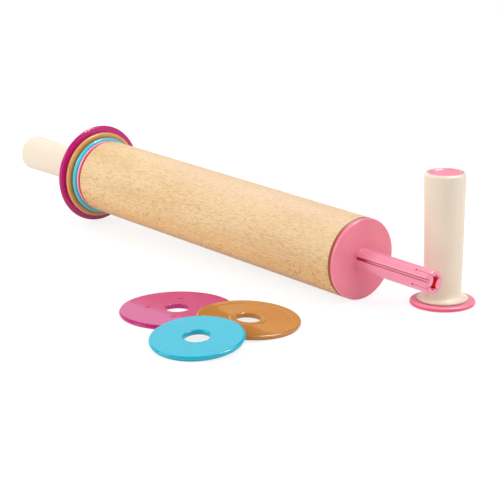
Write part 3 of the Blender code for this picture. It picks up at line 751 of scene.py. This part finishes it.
def slit_tools(size, foot, top):
    """Cutters of the four slits and of the holes that they start from.

    Each slit runs straight from a corner of the hollow to its mouth at the slit angle.
    """
    corner = Vector((size.hollow_width / 2, size.hollow_height / 2 - size.slit_width / 2))
    mouth = Vector((math.cos(size.slit_angle), math.sin(size.slit_angle))) * size.shaft_radius
    along = (mouth - corner).normalized()
    inner = corner - along * size.slit_start
    reach = (mouth - inner).length + OVER
    middle = inner + along * reach / 2
    slit = prism(rectangle(reach, size.slit_width), foot, top)
    hole = prism(circle(size.slit_hole, steps=24), -reach / 2, reach / 2)
    tools = []
    for side, mirror in ((1, 1), (1, -1), (-1, 1), (-1, -1)):
        turn = Matrix.Rotation(math.atan2(along.y * mirror * side, along.x * side), 4, "Z")
        place = Matrix.Translation((side * middle.x, side * mirror * middle.y, 0)) @ turn
        lying = place @ Matrix.Translation((0, 0, foot)) @ Matrix.Rotation(math.pi / 2, 4, "Y")
        tools += [mesh_of("slit", slit, place), mesh_of("slit_hole", hole, lying)]
    return tools


def keyway_tools(size, top, turn):
    """Cutters of one keyway, turned by a matrix: the opening over its land, its root and its two channels.

    The land lies between the channels. At the root, next to the plate, the whole floor is as deep as they
    are, and from the rise on the land climbs straight to its full height.
    """
    outer = size.shaft_radius + size.barb_rise
    land = size.shaft_radius - size.keyway_land
    deep = size.shaft_radius - size.keyway_depth
    half = size.keyway_width / 2
    start = size.keyway_start + size.ease
    opening = [keyway_outline(size, half + extra, top) for extra in (0, 0, size.ease + OVER)]
    levels = (land, size.shaft_radius - size.ease, size.shaft_radius + OVER)
    tools = [mesh_of("keyway", loft(opening, levels), turn @ Matrix.Rotation(math.pi / 2, 4, "Y"))]
    # The root is a little narrower than the keyway and ends above its land, so that no two walls coincide
    width = size.keyway_width * size.root_width
    floors = (deep, deep, land + size.root_rest)
    root = [rectangle(outer - floor, width, ((outer + floor) / 2, 0)) for floor in floors]
    levels = [start + size.keyway_root * part for part in (0, size.keyway_rise, 1)]
    tools.append(mesh_of("root", loft(root, levels), turn))
    for sign in (1, -1):
        middle = ((outer + deep) / 2, sign * (half - size.keyway_channel / 2))
        channel = prism(rectangle(outer - deep, size.keyway_channel, middle), start, top)
        tools.append(mesh_of("channel", channel, turn))
    return tools


def hub_mesh(size, plate_radius):
    """Hub: plate, spigot and hollow shaft with two keyways, its tip slit into four snap fingers.

    It is turned about Z, with the plate's face at height 0. Its openings have a small chamfer at the mouth.
    """
    tip = size.shaft
    barb_radius = size.shaft_radius + size.barb_rise
    barb = tip - size.barb
    back = -size.plate
    end = back - size.spigot
    outline = eased([
        (0, tip, 0), (barb_radius, tip, size.nose), (barb_radius, barb, size.barb_crest),
        (size.shaft_radius, barb - size.barb_ramp, size.barb_foot), (size.shaft_radius, 0, size.fillet),
        (plate_radius, 0, size.plate_edge), (plate_radius, back, size.back_edge),
        (size.spigot_radius, back, 0), (size.spigot_radius, end + size.spigot_nose, 0),
        (size.spigot_radius - size.spigot_nose, end, 0), (0, end, 0),
    ])
    top = tip + OVER
    foot = tip - size.slit
    extras = (0, 0, size.ease + OVER)
    hollow = [hollow_outline(size, extra) for extra in extras]
    relief = [relief_outline(size, extra) for extra in extras]
    tools = [mesh_of("hollow", loft(hollow, (tip - size.hollow_depth, tip - size.ease, top)))]
    for degrees in (0, 180):
        turn = Matrix.Rotation(math.radians(degrees), 4, "Z")
        tools.append(mesh_of("relief", loft(relief, (foot, tip - size.ease, top)), turn))
        tools += keyway_tools(size, top, turn)
    tools += slit_tools(size, foot, top)
    return shaped(mesh_of("hub", turned(outline, size.steps)), "DIFFERENCE", tools)


def disc_mesh(size, radius, thickness, recessed):
    """Disc: flat stepped back with four ejector marks, and a face recessed between bead and ring, or flat."""
    hole = size.hole_radius
    back = radius - size.back_inset
    corners = [
        (radius, thickness, size.rim), (radius, size.back_step, size.back_edge), (back, size.back_step, 0),
        (back, 0, size.back_ease), (hole, 0, size.hole_edge), (hole, thickness, size.hole_round),
    ]
    if recessed:
        ring = hole + size.hole_round + size.ring
        bead = radius - size.rim - size.bead
        floor = thickness - size.recess
        corners += [
            (ring, thickness, size.ease), (ring + size.slope, floor, size.ease),
            (bead - size.slope, floor, size.ease), (bead, thickness, size.ease),
        ]
    disc = mesh_of("disc", turned(eased(corners), size.steps))
    mark = prism(circle(size.mark_radius), -size.mark_depth, size.mark_depth)
    out = Matrix.Translation((size.mark_circle, 0, 0))
    marks = []
    for quarter in range(4):
        turn = Matrix.Rotation(size.mark_turn + quarter * math.pi / 2, 4, "Z")
        marks.append(mesh_of("mark", mark, turn @ out))
    return shaped(disc, "DIFFERENCE", marks)


def core_mesh(size):
    """Handle core: flange, and a sleeve whose bore carries two keys."""
    top = size.height - size.cap - size.fit
    outline = eased([
        (size.core_radius, top, 0), (size.core_radius, size.flange, 0),
        (size.flange_radius, size.flange, size.flange_edge), (size.flange_radius, 0, size.flange_edge),
        (size.core_bore + size.core_mouth, 0, 0), (size.core_bore, size.core_mouth, 0),
        (size.core_bore, top, 0),
    ])
    depth = (size.core_radius - size.key_reach) * size.key_back
    keys = []
    for sign in (1, -1):
        section = rectangle(depth, size.key_width, (sign * (size.key_reach + depth / 2), 0))
        keys.append(mesh_of("key", prism(section, size.key_start, size.key_start + size.key_length)))
    return shaped(mesh_of("core", turned(outline, size.steps)), "UNION", keys)


def grip_mesh(size):
    """Grip: lipped foot, concave quarter-ellipse flare, slow taper and a round shoulder at the cap."""
    foot = size.flange + size.grip_gap
    half_lip = size.lip / 2
    end_radius = size.cap_radius + size.rim_width
    seat_radius = size.cap_radius + size.fit
    seat_height = size.height - size.cap - size.fit
    centre = (end_radius - size.shoulder, size.height - size.shoulder)
    start = math.degrees(math.acos((seat_radius - centre[0]) / size.shoulder))
    shoulder = arc(centre, (size.shoulder, size.shoulder), start, 0, steps=12)
    lip_centre = (size.lip_radius - half_lip, foot + half_lip)
    lip = arc(lip_centre, (half_lip, half_lip), 90, -90, steps=14)
    flare_width = lip_centre[0] - size.neck_radius
    flare_centre = (lip_centre[0], foot + size.lip + size.flare)
    flare = arc(flare_centre, (flare_width, size.flare), 180, 270, steps=20)
    inside = [(size.grip_bore, foot), (size.grip_bore, seat_height), (seat_radius, seat_height)]
    way_down = np.linspace(0, 1, 26)[1:-1, None]
    taper = shoulder[-1] + (flare[0] - shoulder[-1]) * way_down
    return mesh_of("grip", turned(np.concatenate([shoulder, taper, flare[:-1], lip, inside]), size.steps))


def cap_mesh(size):
    """End cap: raised rim, dish with a low round boss, and a skirt below."""
    top = size.height
    under = top - size.cap
    foot = under - size.skirt
    rim = size.cap_radius - size.cap_rim
    boss = size.cap_boss
    dish = size.cap_dish
    floor = top - dish
    skirt = size.core_bore - size.fit
    inside = skirt - size.skirt_wall
    outline = eased([
        (0, floor + dish * size.boss_middle, 0), (boss, floor + dish * size.boss_brow, size.boss_round),
        (boss + dish * size.boss_slope, floor, size.boss_round), (rim - dish, floor, size.cap_corner),
        (rim, top, size.cap_inside), (size.cap_radius, top, size.cap_outside), (size.cap_radius, under, 0),
        (skirt, under, 0), (skirt, foot, 0), (inside, foot, 0), (inside, under, 0), (0, under, 0),
    ])
    return mesh_of("cap", turned(outline, size.steps))


class ROLLINGPIN_OT_barrel(bpy.types.Operator):
    """Make the turned beech barrel in place of its CAD node"""

    bl_idname = "rollingpin.barrel"
    bl_label = "Barrel"

    def execute(self, context):
        settings = context.scene.rolling_pin
        axis, low, high, radius = seat("barrel", OUTWARD["right"])
        middle = (low + high) / 2
        half = (high - low).length / 2
        mesh = barrel_mesh(settings.barrel, radius, half)
        wood = beech_material(settings.finish, axis, middle, half, settings.barrel.edge)
        add_piece("barrel_turned", mesh, "barrel", "pin", stand_up(middle, axis), wood)
        return {"FINISHED"}


class ROLLINGPIN_OT_hubs(bpy.types.Operator):
    """Make both end hubs with their plates, shafts and snap fingers"""

    bl_idname = "rollingpin.hubs"
    bl_label = "Hubs"

    def execute(self, context):
        size = context.scene.rolling_pin.hub
        finish = context.scene.rolling_pin.finish
        _, _, _, plate_radius = seat("hub_right", OUTWARD["right"])
        mesh = hub_mesh(size, plate_radius)
        for side in SIDES:
            axis, _, tip, _ = seat("hub_" + side, OUTWARD[side])
            roll = math.pi / 2 + size.roll * OUTWARD[side].x
            placing = stand_up(tip - axis * size.shaft, axis, roll)
            parts = self.tones(size, finish, plate_radius, pale_rim=side == "left")
            pink = plastic_material("pink_hub_" + side, finish.pink[:], SATIN, placing, parts)
            add_piece(f"hub_{side}_moulded", mesh, "hub_" + side, "pin", placing, pink)
        return {"FINISHED"}

    def tones(self, size, finish, plate_radius, pale_rim):
        """Parts of a hub with painted light and shade: painted shade at the edge by the wood, a painted sheen
        on the shaft, painted shade in the keyways and a painted glow in the hollow, innermost last.

        With a rim highlight, the plate's rim gets a painted highlight and is paler than its face.
        """
        back = -size.plate
        wide = plate_radius * 2
        past_tip = size.shaft * 2
        parts = [
            # Painted shade at the plate's edge by the wood
            (wide, back - FADE, back + size.back_edge + FADE, finish.pink_shade[:]),
            # Painted sheen on the shaft
            (size.shaft_radius + size.barb_rise, 0, past_tip, finish.pink_pale_and_sheen[:]),
            # Painted shade in the keyways
            (size.shade_radius, 0, size.shaft - size.nose, finish.pink_shade[:]),
            # Painted glow of light through the plastic in the hollow
            (size.glow_radius, 0, size.shaft - size.ease, finish.pink_deep_glow[:]),
        ]
        # A painted highlight on the left plate's rim; its face keeps the plain pink
        if pale_rim:
            face = (plate_radius - size.plate_edge) / SPREAD
            rim = (wide, back, size.highlight_reach, finish.pink_rim[:])
            parts = [rim, (face, *ALL_HEIGHTS, finish.pink[:]), *parts]
        return parts


class ROLLINGPIN_OT_discs(bpy.types.Operator):
    """Make the six thickness discs, three on the pin and three loose on the table"""

    bl_idname = "rollingpin.discs"
    bl_label = "Thickness discs"

    def execute(self, context):
        size = context.scene.rolling_pin.disc
        finish = context.scene.rolling_pin.finish
        for colour in ("blue", "brown", "magenta"):
            for side in SIDES:
                node = f"{colour}_disc_{side}"
                toward = OUTWARD["right"] if side == "left" else UP
                if node == "magenta_disc_right":
                    toward = -UP
                axis, foot, top, radius = seat(node, toward)
                mesh = disc_mesh(size, radius, (top - foot).length, recessed=colour != "blue")
                placing = stand_up(foot, axis)
                shade = getattr(finish, colour)[:]
                parts = []
                # The mounted blue and brown discs get a painted highlight on their rims; inside the rim they
                # keep their colour
                if node in ("blue_disc_left", "brown_disc_left"):
                    parts = [((radius - size.rim) / SPREAD, *ALL_HEIGHTS, shade)]
                    shade = getattr(finish, colour + "_rim")[:]
                gloss = plastic_material(node, shade, POLISHED, placing, parts)
                add_piece(node + "_moulded", mesh, node, f"{colour}_{side}", placing, gloss)
        return {"FINISHED"}


class ROLLINGPIN_OT_handles(bpy.types.Operator):
    """Make both handles: keyed core with its flange, spinning grip and end cap"""

    bl_idname = "rollingpin.handles"
    bl_label = "Handles"

    def execute(self, context):
        settings = context.scene.rolling_pin
        size = settings.handle
        finish = settings.finish
        # Painted shade on the lower rim of the flange
        foot_shade_part = (size.flange_radius * 2, ALL_HEIGHTS[0], size.flange_shade, finish.pink_foot_shade[:])
        pieces = (
            ("core", core_mesh(size), "handle_", "pink_core_", finish.pink_pale_and_sheen[:], SATIN, [foot_shade_part]),
            ("grip", grip_mesh(size), "grip_", "cream_grip_", finish.cream[:], SOFT, []),
            ("cap", cap_mesh(size), "handle_", "pink_cap_", finish.pink_pale_and_sheen[:], SATIN, []),
        )
        for side in SIDES:
            axis, foot, _, _ = seat("handle_core_" + side, OUTWARD["left"] if side == "left" else UP)
            roll = math.pi / 2 - settings.hub.roll if side == "left" else 0.0
            placing = stand_up(foot, axis, roll)
            for piece, mesh, body, name, colour, kind, parts in pieces:
                node = f"handle_{piece}_{side}"
                skin = plastic_material(name + side, colour, kind, placing, parts)
                add_piece(node + "_moulded", mesh, node, body + side, placing, skin)
        return {"FINISHED"}


class ROLLINGPIN_OT_studio(bpy.types.Operator):
    """Lay the table top and set the camera, the lamps and the white surroundings"""

    bl_idname = "rollingpin.studio"
    bl_label = "Studio"

    def execute(self, context):
        scene = context.scene
        studio = scene.rolling_pin.studio
        _, foot, _, _ = seat("handle_core_right", UP)
        self.add_floor(scene, studio, scene.rolling_pin.finish)
        self.add_camera(scene, studio, foot)
        self.add_lamps(scene, studio)
        self.light_world(scene, studio)
        scene.view_settings.view_transform = "Standard"
        return {"FINISHED"}

    def add_floor(self, scene, studio, finish):
        """Flat table top under the object."""
        sheet = rectangle(studio.floor_size, studio.floor_size)
        points = np.c_[sheet, np.full(4, -studio.floor_drop)]
        mesh = bpy.data.meshes.new("table_top")
        mesh.from_pydata(points.tolist(), [], [[0, 1, 2, 3]])
        mesh.materials.append(floor_material(finish.floor[:], finish.floor_seen[:], studio.floor_lift))
        floor = bpy.data.objects.new("table_top", mesh)
        scene.collection.objects.link(floor)

    def add_camera(self, scene, studio, foot):
        """Camera with the photograph's place, heading and focal length."""
        lens = bpy.data.cameras.new("camera")
        lens.sensor_width = studio.sensor
        lens.lens = studio.lens
        lens.clip_start = 0.05
        lens.clip_end = 50
        camera = bpy.data.objects.new("camera", lens)
        scene.collection.objects.link(camera)
        camera.location = foot + Vector(studio.camera_offset)
        ahead = Vector((
            math.sin(studio.yaw) * math.cos(studio.pitch),
            math.cos(studio.yaw) * math.cos(studio.pitch),
            -math.sin(studio.pitch),
        ))
        across = Vector((math.cos(studio.yaw), -math.sin(studio.yaw), 0))
        down = ahead.cross(across)
        right = across * math.cos(studio.tilt) + down * math.sin(studio.tilt)
        below = down * math.cos(studio.tilt) - across * math.sin(studio.tilt)
        camera.rotation_euler = Matrix((right, -below, -ahead)).transposed().to_euler()
        scene.camera = camera

    def add_lamps(self, scene, studio):
        """Soft lamps, placed by their offset across the picture, towards the camera and upwards.

        The last one throws no soft light and shows only as glints on glossy edges.
        """
        across = Vector((math.cos(studio.yaw), -math.sin(studio.yaw), 0))
        towards = -Vector((math.sin(studio.yaw), math.cos(studio.yaw), 0))
        aim = Vector((0, 0, 0.03))
        for name, offset, size, power in (
            ("lamp_left", (-1.35, 0.3, 0.9), 0.8, 10.8),
            ("lamp_right", (1.3, 0.15, 1.0), 1.0, 6.8),
            ("lamp_top", (0.55, 0.3, 1.5), 0.6, 5.0),
            ("lamp_back", (-0.64, -1.3, 1.0), 1.6, 8.3),
            ("lamp_glint", (0.75, 0.1, 1.2), 0.5, 20.0),
        ):
            light = bpy.data.lights.new(name, "AREA")
            light.shape = "SQUARE"
            light.size = size
            light.energy = power
            lamp = bpy.data.objects.new(name, light)
            scene.collection.objects.link(lamp)
            lamp.location = across * offset[0] + towards * offset[1] + UP * offset[2]
            lamp.rotation_euler = (aim - lamp.location).to_track_quat("-Z", "Y").to_euler()
            lamp.visible_camera = False
            lamp.visible_diffuse = name != "lamp_glint"

    def light_world(self, scene, studio):
        """Even light from all round, and a white backdrop that is seen; mirrored, it is dimmer high up."""
        world = bpy.data.worlds.new("surroundings")
        scene.world = world
        desk = NodeDesk(world)
        sight = desk.add("ShaderNodeSeparateXYZ", {0: desk.add("ShaderNodeTexCoord").outputs["Generated"]})
        fade = studio.backdrop * studio.backdrop_fade
        high = desk.step(sight.outputs["Z"], studio.backdrop - fade, studio.backdrop + fade)
        mirrored = desk.add("ShaderNodeLightPath").outputs["Is Glossy Ray"]
        dim = desk.math("MULTIPLY", mirrored, desk.math("MULTIPLY", high, 1 - studio.gloom))
        strength = desk.math("SUBTRACT", 1.0, dim)
        even = desk.add("ShaderNodeBackground", {"Color": (1, 1, 1, 1), "Strength": studio.surround})
        white = desk.add("ShaderNodeBackground", {"Color": (1, 1, 1, 1), "Strength": strength})
        both = desk.add("ShaderNodeMixShader", {0: desk.seen(), 1: even.outputs[0], 2: white.outputs[0]})
        desk.add("ShaderNodeOutputWorld", {"Surface": both.outputs[0]})


class ROLLINGPIN_PT_panel(bpy.types.Panel):
    """Panel with one button for each group of pieces and for the studio"""

    bl_idname = "ROLLINGPIN_PT_panel"
    bl_label = "Rolling Pin"
    bl_space_type = "VIEW_3D"
    bl_region_type = "UI"
    bl_category = "Rolling Pin"

    def draw(self, context):
        for operator in OPERATORS:
            self.layout.operator(operator.bl_idname)


GROUPS = (BarrelSizes, HubSizes, DiscSizes, HandleSizes, Finishes, Studio, RollingPinSettings)
OPERATORS = (
    ROLLINGPIN_OT_barrel, ROLLINGPIN_OT_hubs, ROLLINGPIN_OT_discs, ROLLINGPIN_OT_handles,
    ROLLINGPIN_OT_studio,
)


def register():
    """Register the settings, the operators and the panel."""
    for item in (*GROUPS, *OPERATORS, ROLLINGPIN_PT_panel):
        bpy.utils.register_class(item)
    bpy.types.Scene.rolling_pin = PointerProperty(type=RollingPinSettings)


def unregister():
    """Remove them again."""
    del bpy.types.Scene.rolling_pin
    for item in reversed((*GROUPS, *OPERATORS, ROLLINGPIN_PT_panel)):
        bpy.utils.unregister_class(item)


def main():
    """Build the dressed object."""
    register()
    bpy.ops.rollingpin.barrel()
    bpy.ops.rollingpin.hubs()
    bpy.ops.rollingpin.discs()
    bpy.ops.rollingpin.handles()
    bpy.ops.rollingpin.studio()
    bpy.context.view_layer.update()


if __name__ == "__main__":
    main()
